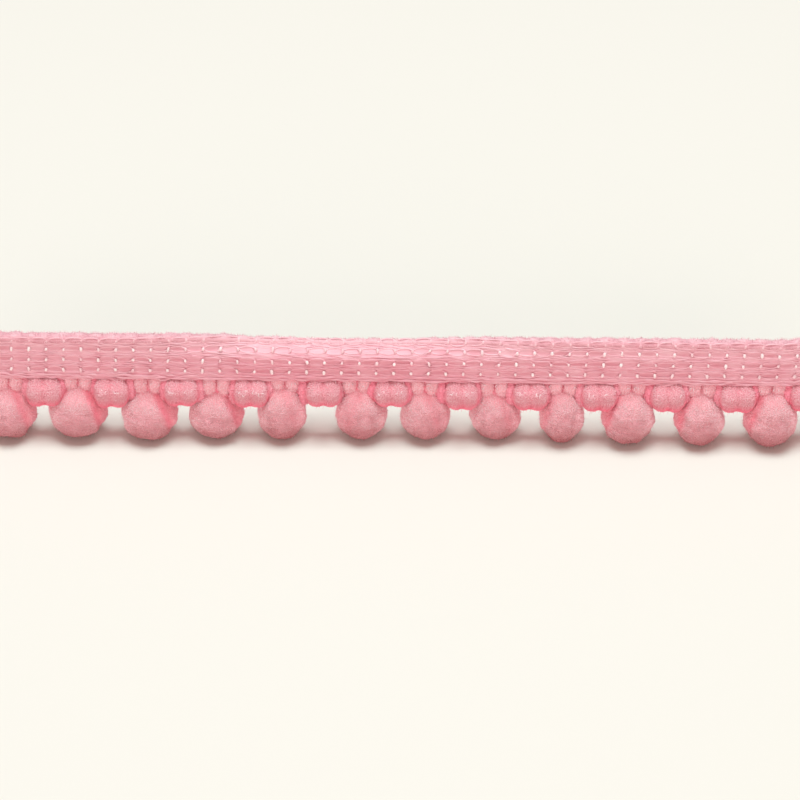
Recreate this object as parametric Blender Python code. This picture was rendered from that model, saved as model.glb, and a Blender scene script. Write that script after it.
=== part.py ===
"""Mini pompom fringe trim: a cut length that stands on its pompoms.

A narrow knitted heading tape carries pile bundles along its lower edge, one to
each knitted course. Two long bundles make the neck of a large pompom, and the
next two short ones make a small two-lobed bud, so large and small alternate.

X runs along the trim, Y away from its face, Z up from the surface it stands on.
The origin is on that surface, in the middle of the trim's outline.
"""

import math
import random
from collections import namedtuple

import bmesh
import bpy
from mathutils import Matrix, Vector, noise

MM = 0.001

# Knitting: a course is one step along the trim and a wale one row of stitches.
COURSE = 1.73 * MM
WALE = 1.25 * MM
WALES = 4
COURSES_PER_REPEAT = 4
REPEATS = 14
REPEAT = COURSE * COURSES_PER_REPEAT
LENGTH = REPEAT * REPEATS

# Heading tape, upright at rest, with its lower edge above the pompoms.
TAPE_THICKNESS = 1.0 * MM
TAPE_FOOT_HEIGHT = 6.75 * MM
TAPE_FACE_BACK = -0.15 * MM
FIRST_WALE = 1.3 * MM
SELVEDGE = 0.08 * MM
TAPE_WIDTH = FIRST_WALE + (WALES - 1) * WALE + SELVEDGE
FOLD_LINE = 3.15 * MM
FOLD_SOFTNESS = 0.7 * MM

# Relief of the knitting on the tape's face.
HEAD_RELIEF = 0.24 * MM
LEG_RELIEF = 0.13 * MM
CHAIN_RELIEF = 0.05 * MM
SCALLOP = 0.13 * MM
TAPE_WAVER = 0.05 * MM
EDGE_ROUND = 0.12 * MM
BACK_ROUND = 0.5 * MM
CUT_END_BULGE = 0.1 * MM

# Mesh of the tape.
COLUMNS_PER_COURSE = 3
ROWS_PER_WALE = 3
BACK_STRIPS = 6

# Both ends, past the part that hangs straight, curve back and steady the trim.
END_CURL_START = 10.0 * MM
END_CURL_RADIUS = 11.0 * MM

# Pile.
GAP = 0.3 * MM
PRESSED_GAP = 0.52 * MM
NECK_TOP = TAPE_FOOT_HEIGHT - GAP
NECK_SUNK = 0.75 * MM
NECK_WIDTH = 2.7 * MM
NECK_SWAY = 0.3
NECK_DEPTH = 1.9 * MM
BUD_TOP = TAPE_FOOT_HEIGHT - GAP
LOBE_GROOVE = 0.80
PILE_LUMPS = 0.045
LUMP_SIZE = 1.6 * MM
FOOT_RING = 0.92
LOCK_HEIGHT = 0.26 * MM
BALL_LOCKS = 12
BUD_LOCKS = 8

# Colours, linear RGB.
HEADING_PINK = (0.78, 0.33, 0.37, 1.0)
PILE_PINK = (0.83, 0.36, 0.40, 1.0)
BUD_PINK = (0.86, 0.38, 0.43, 1.0)
YARN_ROUGHNESS = 0.75
PILE_ROUGHNESS = 0.95

# How far the tape leans back at a place along it, below its fold and above it.
Lean = namedtuple("Lean", "along_mm lower_deg upper_deg")
LEANS = (
    Lean(0.0, 2, 3),
    Lean(9.0, 0, 0),
    Lean(18.0, 0, 0),
    Lean(25.0, 1, 12),
    Lean(30.0, 0, 28),
    Lean(35.0, -2, 42),
    Lean(41.0, -3, 47),
    Lean(49.0, -3, 46),
    Lean(54.0, 0, 36),
    Lean(59.0, 2, 22),
    Lean(65.0, 5, 13),
    Lean(71.0, 8, 11),
    Lean(80.0, 9, 10),
    Lean(86.0, 4, 6),
    Lean(96.9, 3, 4),
)

# The large pompoms from left to right. Sway is how far a ball hangs to the
# right of its neck, and forward how far in front of the tape's middle.
Ball = namedtuple("Ball", "width_mm height_mm depth_mm sway_mm forward_mm")
BALLS = (
    Ball(5.3, 4.9, 5.1, 0.10, 0.00),
    Ball(5.65, 4.9, 5.3, -0.20, 0.00),
    Ball(5.75, 5.0, 5.3, -0.14, -0.10),
    Ball(5.7, 4.7, 5.3, 0.10, 0.00),
    Ball(5.55, 4.5, 5.2, -0.10, -0.40),
    Ball(4.85, 5.3, 4.7, -0.42, -0.10),
    Ball(5.1, 5.1, 4.9, 0.58, -0.30),
    Ball(5.05, 4.9, 5.0, 0.10, -0.42),
    Ball(5.15, 4.8, 4.9, 0.22, -0.55),
    Ball(4.55, 5.2, 4.6, -0.12, -0.15),
    Ball(5.35, 5.3, 5.1, -0.40, 0.00),
    Ball(5.0, 5.1, 4.9, -0.16, 0.05),
    Ball(5.4, 5.4, 5.2, 0.03, 0.00),
    Ball(5.2, 5.0, 5.0, -0.05, 0.05),
)

# The buds from left to right, between the large pompoms.
Bud = namedtuple("Bud", "width_mm height_mm depth_mm sway_mm forward_mm")
BUDS = (
    Bud(3.1, 3.0, 2.8, 0.05, 0.15),
    Bud(3.3, 3.0, 2.9, 0.06, 0.20),
    Bud(3.1, 3.1, 2.9, -0.14, 0.20),
    Bud(3.1, 2.9, 2.8, -0.08, 0.10),
    Bud(3.2, 2.9, 2.8, -0.03, 0.15),
    Bud(3.2, 2.8, 2.7, 0.30, 0.10),
    Bud(3.2, 2.8, 2.7, 0.16, 0.00),
    Bud(3.0, 3.0, 2.8, 0.30, 0.10),
    Bud(3.2, 3.0, 2.8, 0.22, 0.05),
    Bud(3.2, 3.0, 2.9, 0.16, 0.05),
    Bud(3.2, 3.0, 2.8, 0.10, 0.05),
    Bud(3.3, 3.0, 2.9, 0.10, 0.00),
    Bud(3.0, 3.0, 2.8, -0.03, 0.00),
)


def clear_scene():
    for thing in list(bpy.data.objects):
        bpy.data.objects.remove(thing, do_unlink=True)


def collection(name):
    made = bpy.data.collections.new(name)
    bpy.context.scene.collection.children.link(made)
    return made


def yarn_material(name, colour, roughness):
    material = bpy.data.materials.new(name)
    material.use_nodes = True
    shader = material.node_tree.nodes["Principled BSDF"]
    shader.inputs["Base Color"].default_value = colour
    shader.inputs["Roughness"].default_value = roughness
    shader.inputs["Metallic"].default_value = 0.0
    return material


def object_from(bm, name, where, material):
    """The finished bmesh as an object shaded smooth."""
    bmesh.ops.recalc_face_normals(bm, faces=bm.faces)
    mesh = bpy.data.meshes.new(name)
    bm.to_mesh(mesh)
    bm.free()
    mesh.materials.append(material)
    mesh.shade_smooth()
    made = bpy.data.objects.new(name, mesh)
    where.objects.link(made)
    return made


def eased(share):
    share = min(1.0, max(0.0, share))
    return share * share * (3 - 2 * share)


def lean_at(along):
    """The tape's lower and upper lean in radians at a place along it."""
    for before, after in zip(LEANS, LEANS[1:]):
        if along <= after.along_mm * MM:
            break
    start, end = before.along_mm * MM, after.along_mm * MM
    share = eased((along - start) / (end - start))
    lower = before.lower_deg + share * (after.lower_deg - before.lower_deg)
    upper = before.upper_deg + share * (after.upper_deg - before.upper_deg)
    return math.radians(lower), math.radians(upper)


def plan_at(along):
    """The trim's line seen from above: the point there and its heading."""
    from_middle = along - LENGTH / 2
    side = math.copysign(1.0, from_middle)
    straight = LENGTH / 2 - END_CURL_START
    past = max(0.0, abs(from_middle) - straight)
    heading = past / END_CURL_RADIUS
    x = min(abs(from_middle), straight) + END_CURL_RADIUS * math.sin(heading)
    y = END_CURL_RADIUS * (1 - math.cos(heading))
    return Vector((side * x, y, 0.0)), side * heading


def on_trim(along, back, height):
    """A point placed by its distance along the trim, behind it and up."""
    point, heading = plan_at(along)
    behind = Vector((-math.sin(heading), math.cos(heading), 0.0))
    return point + behind * back + Vector((0.0, 0.0, height))


def tape_section(along, across):
    """How far back and up the tape's face lies, and its lean there."""
    lower, upper = lean_at(along)
    back, height, steps = TAPE_FACE_BACK, TAPE_FOOT_HEIGHT, 24
    lean = lower
    for step in range(steps):
        reached = across * (step + 0.5) / steps
        bent = eased((reached - FOLD_LINE + FOLD_SOFTNESS) / (2 * FOLD_SOFTNESS))
        lean = lower + bent * (upper - lower)
        back += math.sin(lean) * across / steps
        height += math.cos(lean) * across / steps
    return back, height, lean


def tape_point(along, across, proud):
    """A point on the tape, proud of its face, or behind it if negative."""
    back, height, lean = tape_section(along, across)
    back -= proud * math.cos(lean)
    height += proud * math.sin(lean)
    return on_trim(along, back, height)


def stitch_relief(column, row_from_wale, at_end):
    """A chain stitch: a knob at its head and two legs that spread after it."""
    if at_end:
        return 0.0
    if column % COLUMNS_PER_COURSE == 0:
        return HEAD_RELIEF if row_from_wale == 0 else 0.0
    return CHAIN_RELIEF if row_from_wale == 0 else LEG_RELIEF


def tape_ring():
    """The tape's section as (across, depth, row from wale), up its face and
    down its back; depth runs from 0 on the face to 1 on the back."""
    ring = [(0.0, 0.5, None), (EDGE_ROUND, 0.0, None), (FIRST_WALE / 2, 0.0, None)]
    for row in range((WALES - 1) * ROWS_PER_WALE + 1):
        offset = row % ROWS_PER_WALE
        ring.append((FIRST_WALE + row * WALE / ROWS_PER_WALE, 0.0, offset))
    ring += [(TAPE_WIDTH, 0.25, None), (TAPE_WIDTH - EDGE_ROUND, 0.6, None)]
    for strip in range(BACK_STRIPS, -1, -1):
        share = strip / BACK_STRIPS
        across = EDGE_ROUND + share * (TAPE_WIDTH - EDGE_ROUND - BACK_ROUND)
        ring.append((across, 1.0, None))
    return ring


def heading_tape(where, material):
    """A grid wrapped round the tape's section and closed at both ends."""
    ring = tape_ring()
    columns = COLUMNS_PER_COURSE * COURSES_PER_REPEAT * REPEATS
    bm = bmesh.new()
    bmesh.ops.create_grid(bm, x_segments=columns, y_segments=len(ring), size=0.5)
    for vertex in bm.verts:
        column = round((vertex.co.x + 0.5) * columns)
        step = round((vertex.co.y + 0.5) * len(ring)) % len(ring)
        along = LENGTH * column / columns
        across, depth, from_wale = ring[step]
        at_end = column in (0, columns)
        proud = -depth * TAPE_THICKNESS
        if from_wale is not None:
            proud += stitch_relief(column, from_wale, at_end)
        if across > TAPE_WIDTH - 2 * EDGE_ROUND and from_wale is None:
            across += SCALLOP * abs(math.sin(math.pi * column / COLUMNS_PER_COURSE))
        if depth < 1 and not at_end:
            place = Vector((along, across, 0.0)) / LUMP_SIZE
            proud += TAPE_WAVER * noise.noise(place)
        vertex.co = tape_point(along, across, proud)
    bmesh.ops.remove_doubles(bm, verts=bm.verts, dist=0.01 * MM)
    rims = [edge for edge in bm.edges if edge.is_boundary]
    cut_ends = bmesh.ops.holes_fill(bm, edges=rims, sides=0)["faces"]
    bmesh.ops.poke(bm, faces=cut_ends, offset=CUT_END_BULGE)
    return object_from(bm, "heading_tape", where, material)


def lumpy(bm, seed):
    """Uneven pile: the surface swells and dips by a few per cent."""
    shift = Vector((seed * 7.3, seed * 3.1, seed * 5.7))
    for vertex in bm.verts:
        lump = noise.noise(vertex.co / LUMP_SIZE + shift)
        vertex.co *= 1 + PILE_LUMPS * lump


def raise_locks(bm, count, seed, lowest, highest):
    """Locks of pile: some four-sided faces drawn out to a low point."""
    side_faces = [
        face
        for face in bm.faces
        if len(face.verts) == 4 and lowest < face.calc_center_median().z < highest
    ]
    chosen = random.Random(seed).sample(side_faces, min(count, len(side_faces)))
    bmesh.ops.poke(bm, faces=chosen, offset=LOCK_HEIGHT)


def two_lobes(width, depth, height, segments, rings):
    """A pair of tufts side by side, with the tie's groove between them."""
    bm = bmesh.new()
    bmesh.ops.create_uvsphere(bm, u_segments=segments, v_segments=rings, radius=1.0)
    turn = Matrix.Rotation(math.pi / 2, 4, "Y")
    bmesh.ops.transform(bm, matrix=turn, verts=bm.verts)
    for vertex in bm.verts:
        across = vertex.co.x
        fullness = 1 - (1 - LOBE_GROOVE) * math.exp(-((across / 0.2) ** 2))
        swell = 1 + 0.35 * across * across * (1 - across * across)
        vertex.co.y *= fullness * swell
        vertex.co.z *= fullness * swell
    size = Vector((width / 2, depth / 2, height / 2))
    bmesh.ops.scale(bm, vec=size, verts=bm.verts)
    return bm


def place(bm, along, back, height):
    """Turns a piece to the trim's heading and puts it at its place."""
    heading = plan_at(along)[1]
    turn = Matrix.Rotation(heading, 4, "Z")
    bmesh.ops.transform(bm, matrix=turn, verts=bm.verts)
    bmesh.ops.translate(bm, vec=on_trim(along, back, height), verts=bm.verts)


def ball_mesh(row, seed):
    """A large pompom's pile, centred on itself, with a level foot."""
    bm = bmesh.new()
    bmesh.ops.create_uvsphere(bm, u_segments=16, v_segments=10, radius=1.0)
    size = Vector((row.width_mm, row.depth_mm, row.height_mm)) * MM / 2
    bmesh.ops.scale(bm, vec=size, verts=bm.verts)
    lumpy(bm, seed)
    low, high = -0.55 * size.z, 0.5 * size.z
    raise_locks(bm, BALL_LOCKS, seed, low, high)
    for vertex in bm.verts:
        if vertex.co.z < -FOOT_RING * size.z:
            vertex.co.z = -size.z
    return bm


def pompom(index, row, where, helpers, material):
    """A large pompom: its ball, fused to the two tufts of its neck."""
    seed = index + 1
    along = (index + 0.5) * REPEAT
    ball = ball_mesh(row, seed)
    place(ball, along + row.sway_mm * MM, -row.forward_mm * MM, row.height_mm * MM / 2)
    made = object_from(ball, f"pompom_{seed:02d}", where, material)

    neck_foot = row.height_mm * MM - NECK_SUNK
    neck = two_lobes(NECK_WIDTH, NECK_DEPTH, NECK_TOP - neck_foot, 10, 8)
    sway = NECK_SWAY * row.sway_mm * MM
    place(neck, along + sway, 0.0, (NECK_TOP + neck_foot) / 2)
    tufts = object_from(neck, f"neck_{seed:02d}", helpers, material)
    tufts.hide_render = True
    tufts.display_type = "WIRE"

    join = made.modifiers.new("neck", "BOOLEAN")
    join.operation = "UNION"
    join.object = tufts
    return made


def clear_of_ball(point, index):
    """The point, moved out of the space that a large pompom's pile fills."""
    row = BALLS[index]
    along = (index + 0.5) * REPEAT + row.sway_mm * MM
    height = row.height_mm * MM / 2
    centre = on_trim(along, -row.forward_mm * MM, height)
    reach = Vector((row.width_mm, row.depth_mm, row.height_mm)) * MM / 2
    reach += Vector((PRESSED_GAP, PRESSED_GAP, PRESSED_GAP))
    turn = Matrix.Rotation(-plan_at(along)[1], 3, "Z")
    away = turn @ (point - centre)
    share = Vector((away.x / reach.x, away.y / reach.y, away.z / reach.z)).length
    return point if share >= 1 else centre + (point - centre) / share


def bud(index, row, where, material):
    """A small pompom: two short tufts pressed in between the large ones."""
    seed = index + 1
    along = (index + 1) * REPEAT + row.sway_mm * MM
    width, depth, height = row.width_mm * MM, row.depth_mm * MM, row.height_mm * MM
    bm = two_lobes(width, depth, height, 14, 10)
    lumpy(bm, seed + REPEATS)
    raise_locks(bm, BUD_LOCKS, seed, -0.45 * height, 0.2 * height)
    place(bm, along, -row.forward_mm * MM, BUD_TOP - height / 2)
    for vertex in bm.verts:
        for neighbour in (index, index + 1):
            vertex.co = clear_of_ball(vertex.co, neighbour)
        vertex.co.z = min(vertex.co.z, BUD_TOP)
    return object_from(bm, f"bud_{seed:02d}", where, material)


def centre_on_outline(pieces):
    """Moves all the pieces so the origin is at the outline's middle."""
    bpy.context.view_layer.update()
    graph = bpy.context.evaluated_depsgraph_get()
    corners = [
        Vector(corner)
        for piece in pieces
        for corner in piece.evaluated_get(graph).bound_box
    ]
    middle = Vector(
        [(min(c[i] for c in corners) + max(c[i] for c in corners)) / 2 for i in (0, 1)]
        + [0.0]
    )
    for mesh in bpy.data.meshes:
        mesh.transform(Matrix.Translation(-middle))


def build():
    clear_scene()
    trim = collection("pompom_fringe_trim")
    helpers = collection("joined_shapes")
    heading = yarn_material("heading_yarn", HEADING_PINK, YARN_ROUGHNESS)
    pile = yarn_material("pompom_pile", PILE_PINK, PILE_ROUGHNESS)
    short_pile = yarn_material("bud_pile", BUD_PINK, PILE_ROUGHNESS)

    pieces = [heading_tape(trim, heading)]
    for index, row in enumerate(BALLS):
        pieces.append(pompom(index, row, trim, helpers, pile))
    for index, row in enumerate(BUDS):
        pieces.append(bud(index, row, trim, short_pile))
    centre_on_outline(pieces)


build()
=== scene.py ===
# Pompom fringe trim: a cut length of knitted heading tape with large and small
# cut-pile pompoms along its lower edge, standing on the large ones.
# Every piece is modelled in millimetres and scaled to metres as it is finished.
import math
import random

import bmesh
import bpy
import numpy as np
from mathutils import Matrix, Vector, noise


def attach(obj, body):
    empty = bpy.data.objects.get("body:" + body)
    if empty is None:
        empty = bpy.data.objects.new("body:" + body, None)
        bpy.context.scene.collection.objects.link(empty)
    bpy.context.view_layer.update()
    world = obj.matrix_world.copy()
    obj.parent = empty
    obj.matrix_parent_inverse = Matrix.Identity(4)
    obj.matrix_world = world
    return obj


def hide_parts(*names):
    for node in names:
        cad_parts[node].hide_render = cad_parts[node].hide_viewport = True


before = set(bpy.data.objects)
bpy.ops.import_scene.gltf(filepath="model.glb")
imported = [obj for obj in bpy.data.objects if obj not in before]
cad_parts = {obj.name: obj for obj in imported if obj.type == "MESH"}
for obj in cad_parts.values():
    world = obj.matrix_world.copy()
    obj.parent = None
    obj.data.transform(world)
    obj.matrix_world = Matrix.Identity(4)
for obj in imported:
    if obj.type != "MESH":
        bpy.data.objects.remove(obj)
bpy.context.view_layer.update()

trim = {
    "course": 1.73,            # one stitch along the trim
    "coursesPerRepeat": 4,     # two for a large pompom, two for a bud
    "repeats": 14,
    "endCurlStart": 10.0,      # both ends bend back over this length
    "endCurlRadius": 11.0,
    "lineBack": -1.088,        # the trim's line, from the middle of its outline
    "lowest": 0.01,            # nothing goes under the floor
}
repeat = trim["course"] * trim["coursesPerRepeat"]
courses = trim["coursesPerRepeat"] * trim["repeats"]
length = repeat * trim["repeats"]


# small helpers

def linear(hexColour):
    # sRGB hex to the linear colour that the shaders take
    parts = [int(hexColour[i:i + 2], 16) / 255 for i in (1, 3, 5)]
    return [p / 12.92 if p <= 0.04045 else ((p + 0.055) / 1.055) ** 2.4 for p in parts] + [1.0]


def socketOf(sockets, key):
    if isinstance(key, int):
        return sockets[key]
    return next(s for s in sockets if s.name == key and s.enabled)


def addNode(tree, kind, settings=None, links=None):
    # settings: a property or an input's value; links: an input from another node's output
    node = tree.nodes.new(kind)
    for key, value in (settings or {}).items():
        if isinstance(key, str) and key[0].islower():
            setattr(node, key, value)
    for key, value in (settings or {}).items():
        if isinstance(key, int) or not key[0].islower():
            socketOf(node.inputs, key).default_value = value
    for key, (source, output) in (links or {}).items():
        tree.links.new(socketOf(source.outputs, output), socketOf(node.inputs, key))
    return node


def newMaterial(name):
    material = bpy.data.materials.new(name)
    material.use_nodes = True
    return material, material.node_tree.nodes["Principled BSDF"]


def newGroup(name):
    # a geometry group that takes a body and gives it back with what grows on it
    tree = bpy.data.node_groups.new(name, "GeometryNodeTree")
    for way in ("INPUT", "OUTPUT"):
        tree.interface.new_socket("Geometry", in_out=way, socket_type="NodeSocketGeometry")
    return tree, addNode(tree, "NodeGroupInput")


def closeGroup(tree, parts, material):
    # all parts together, in one material
    both = addNode(tree, "GeometryNodeJoinGeometry")
    for part in parts:
        tree.links.new(part.outputs["Geometry"], both.inputs["Geometry"])
    painted = addNode(tree, "GeometryNodeSetMaterial", {"Material": material},
                      {"Geometry": (both, "Geometry")})
    addNode(tree, "NodeGroupOutput", {}, {"Geometry": (painted, "Geometry")})
    return tree


def looseFibres(tree, spots, look, value, **scale):
    # fine fibres that stand off at all angles, each an open cone of three faces
    astray = addNode(tree, "FunctionNodeRandomValue",
                     {"data_type": "FLOAT_VECTOR", 0: (-0.9,) * 3, 1: (0.9,) * 3, "Seed": 13})
    outward = addNode(tree, "ShaderNodeVectorMath", {"operation": "ADD"},
                      {0: (spots, "Normal"), 1: (astray, 0)})
    aim = addNode(tree, "FunctionNodeAlignRotationToVector", {"axis": "Z"},
                  {"Vector": (outward, "Vector")})
    fibre = addNode(tree, "GeometryNodeMeshCone",
                    {"fill_type": "NONE", "Vertices": 3, "Radius Top": 0.0,
                     "Radius Bottom": look["thick"], "Depth": look["length"]})
    fibres = addNode(tree, "GeometryNodeInstanceOnPoints", {},
                     {"Points": (spots, "Points"), "Instance": (fibre, "Mesh"),
                      "Rotation": (aim, "Rotation"), **scale})
    pale = addNode(tree, "GeometryNodeStoreNamedAttribute",
                   {"data_type": "FLOAT", "domain": "INSTANCE", "Name": value,
                    "Value": look[value]}, {"Geometry": (fibres, "Instances")})
    return addNode(tree, "GeometryNodeRealizeInstances", {}, {"Geometry": (pale, "Geometry")})


def meshOf(obj):
    # the object's shape with its modifiers applied, as a plain mesh
    graph = bpy.context.evaluated_depsgraph_get()
    graph.update()
    return bpy.data.meshes.new_from_object(obj.evaluated_get(graph), depsgraph=graph)


def points(mesh):
    flat = np.empty(len(mesh.vertices) * 3, np.float32)
    mesh.vertices.foreach_get("co", flat)
    return flat.reshape(-1, 3).astype(np.float64)


def setPoints(mesh, where):
    mesh.vertices.foreach_set("co", where.astype(np.float32).ravel())
    mesh.update()


def keepValue(mesh, name, values):
    # one number for each point, for the material to read
    layer = mesh.attributes.new(name, "FLOAT", "POINT")
    layer.data.foreach_set("value", np.asarray(values, np.float32))


def meshFrom(bm, name):
    mesh = bpy.data.meshes.new(name)
    bm.to_mesh(mesh)
    bm.free()
    return mesh


def linked(name, data):
    obj = bpy.data.objects.new(name, data)
    bpy.context.scene.collection.objects.link(obj)
    return obj


def joined(name, meshes):
    # several meshes as one, with their materials; a value that a mesh lacks is 0 there
    parts = [linked(name, mesh) for mesh in meshes]
    with bpy.context.temp_override(active_object=parts[0], object=parts[0],
                                   selected_objects=parts, selected_editable_objects=parts):
        bpy.ops.object.join()
    parts[0].name = name
    return parts[0]


def finished(obj, nodes=()):
    # to metres, and on the frame
    obj.data.transform(Matrix.Scale(0.001, 4))
    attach(obj, "root")
    if nodes:
        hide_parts(*nodes)


def grown(mesh, group):
    # the body with its pile, as a plain mesh
    obj = linked(mesh.name, mesh)
    obj.modifiers.new("pile", "NODES").node_group = group
    made = meshOf(obj)
    bpy.data.objects.remove(obj)
    where = points(made)
    where[:, 2] = np.maximum(where[:, 2], trim["lowest"])
    setPoints(made, where)
    return made


# the trim's line, as the solids have it

def eased(share):
    share = np.clip(share, 0.0, 1.0)
    return share * share * (3 - 2 * share)


def planAt(along):
    # the trim's line from above: the place and its heading
    fromMiddle = np.asarray(along, float) - length / 2
    straight = length / 2 - trim["endCurlStart"]
    heading = np.maximum(0.0, np.abs(fromMiddle) - straight) / trim["endCurlRadius"]
    x = np.minimum(np.abs(fromMiddle), straight) + trim["endCurlRadius"] * np.sin(heading)
    y = trim["endCurlRadius"] * (1 - np.cos(heading))
    side = np.where(fromMiddle < 0, -1.0, 1.0)
    return side * x, y + trim["lineBack"], side * heading


def onTrim(along, back, height):
    x, y, heading = planAt(along)
    return np.stack([x - np.sin(heading) * back, y + np.cos(heading) * back,
                     height + np.zeros_like(heading)], axis=-1)


# heading tape

tape = {
    "footHeight": 6.75,
    "faceBack": -0.15,
    "thickness": 1.0,
    "width": 5.13,
    "roundness": 0.42,         # radius of the upper and lower edges
    "groundRows": 58,          # faces round the ground, and to a course along it
    "groundColumns": 6,
    "wales": 4,
    "wale": 1.25,              # from one row of stitches to the next
    "firstWale": 1.3,
    "waleStagger": 0.07,       # each row's stitches start this much later
    "topRowDrop": 0.28,        # the top row lies closer to the one below it
    "foldLine": 3.15,          # above this height the cloth leans further back
    "foldSoftness": 0.7,
    "fullLean": 47.0,          # at this lean the painted light and shade of the fold are full
    # along the trim, lean of the lower and of the upper part in degrees
    "leans": [(0, 2, 3), (9, 0, 0), (19, 0, 0), (25, 0, 5), (30, 0, 22), (35, -2, 46),
              (41, -3, 58), (49, -3, 56), (54, -2, 42), (59, -2, 24), (65, -1, 13),
              (71, 0, 11), (80, 0, 9), (86, 0, 6), (96.9, 1, 4)],
    "stitchStart": 0.24,       # share of a course before the first stitch
    "stitchEnd": 0.05,         # no stitch comes nearer to the cut end
    # one leg of a loop: share of a course, out from the row, proud, girth
    "leg": [(0.04, 0.08, -0.12, 0.7), (0.12, 0.2, -0.1, 0.7), (0.26, 0.29, -0.08, 0.7),
            (0.5, 0.34, -0.07, 0.7), (0.76, 0.33, -0.07, 0.65), (0.9, 0.25, -0.05, 0.65),
            (0.965, 0.17, 0.0, 0.7), (0.99, 0.06, 0.03, 0.7)],
    "cellDepth": 0.08,         # how far the ground is sunk in the middle of a loop
    "cellWidth": 0.24,
    "chainYarn": 0.125,        # radii of the yarns
    "headYarn": 0.142,
    "inlayYarn": 0.075,
    "bindingYarn": 0.12,
    "selvedgeYarn": 0.3,
    "yarnSteps": 5,            # points to a course along an inlay or a binding
    "selvedgeSteps": 6,
    # length of a yarn's waves, how far it wanders, rises and swells, and its girth
    "inlay": {"wave": 1.5, "wander": 0.2, "rise": 0.09, "swell": 0.8, "girth": 0.9, "turn": 9},
    "binding": {"wave": 1.2, "wander": 0.22, "rise": 0.12, "swell": 0.6, "girth": 1.0, "turn": 4},
    "bindings": [(0.1, -0.2), (0.32, -0.05), (0.66, -0.02)],        # across, proud
    "selvedges": [(4.78, -0.2), (4.91, -0.3), (4.95, -0.48), (4.9, -0.7), (4.78, -0.88)],
    "backInlays": 11,
    # the fuzz fibres take the edge's painted highlight at this strength
    "fuzz": {"density": 20.0, "length": 0.3, "thick": 0.025, "crown": 0.9},
    "seed": 5,
    "yarns": {
        # a matt ground, with painted shade deeper inside each loop
        "knittedPolyesterGround": {"deep": "#e49cab", "pale": "#f2cad3", "cell": "#d68896",
                                   "roughness": 0.6},
        # a brighter, smoother filament, with a painted highlight on its heads
        "lustrousChainYarn": {"deep": "#e6a1af", "pale": "#f3c9d1", "crown": "#fff3f2",
                              "roughness": 0.4},
        # a bulked yarn, soft, with painted shade between its loops and a painted highlight on their
        # tops
        "softSelvedgeYarn": {"deep": "#d9919f", "pale": "#e6adb8", "cell": "#cc8795",
                             "crown": "#f2cbd2", "roughness": 0.6},
    },
}


def leanAt(along):
    table = np.array(tape["leans"], float)
    step = np.clip(np.searchsorted(table[:, 0], along, side="left") - 1, 0, len(table) - 2)
    start, end = table[step], table[step + 1]
    share = eased((along - start[..., 0]) / (end[..., 0] - start[..., 0]))
    lower = start[..., 1] + share * (end[..., 1] - start[..., 1])
    upper = start[..., 2] + share * (end[..., 2] - start[..., 2])
    return np.radians(lower), np.radians(upper)


def bentAt(across):
    # how far a point is above the fold, from 0 to 1
    return eased((across - tape["foldLine"] + tape["foldSoftness"]) / (2 * tape["foldSoftness"]))


def tiltAt(along):
    # how far the cloth leans back above its fold, 1 at the full lean
    return leanAt(along)[1] / math.radians(tape["fullLean"])


def tapePoints(flat):
    # from the cloth laid flat (along, across, proud of the face) to its place
    along, across, proud = flat[:, 0], flat[:, 1], flat[:, 2]
    lower, upper = leanAt(along)
    back = np.full_like(along, tape["faceBack"])
    height = np.full_like(along, tape["footHeight"])
    steps = 24
    for step in range(steps):
        lean = lower + bentAt(across * (step + 0.5) / steps) * (upper - lower)
        back = back + np.sin(lean) * across / steps
        height = height + np.cos(lean) * across / steps
    return onTrim(along, back - proud * np.cos(lean), height + proud * np.sin(lean))


def yarnMesh(name, strands, radius, closed=False, sides=1):
    # yarns as round strands along their paths, laid on the flat cloth
    curve = bpy.data.curves.new(name, "CURVE")
    curve.dimensions = "3D"
    curve.bevel_depth = radius
    curve.bevel_resolution = sides
    curve.use_fill_caps = not closed
    for path in strands:
        spline = curve.splines.new("POLY")
        spline.points.add(len(path) - 1)
        spline.use_cyclic_u = closed
        for point, place in zip(spline.points, path):
            point.co = (*place[:3], 1.0)
            point.radius = place[3] if len(place) > 3 else 1.0
    obj = linked(name, curve)
    mesh = meshOf(obj)
    bpy.data.objects.remove(obj)
    mesh.name = name
    return mesh


def waver(along, across, size, amount, seed):
    return amount * noise.noise(Vector((along / size, across / size, seed * 3.7)))


def cellAt(along, across):
    # 1 in the middle of a chain loop, where one looks down on the ground
    wale = (across - tape["firstWale"]) / tape["wale"]
    nearest = min(max(round(wale), 0), tape["wales"] - 1)
    reached = (along - tape["waleStagger"] * nearest) / trim["course"] - tape["stitchStart"]
    aside = (wale - nearest) * tape["wale"]
    luck = math.modf(abs(math.sin(math.floor(reached) * 9.17 + nearest * 31.7) * 437.585))[0]
    inside = math.sin(math.pi * (reached % 1.0)) ** 0.5
    return math.exp(-(aside / tape["cellWidth"]) ** 2) * inside * (0.35 + 0.65 * luck)


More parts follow.
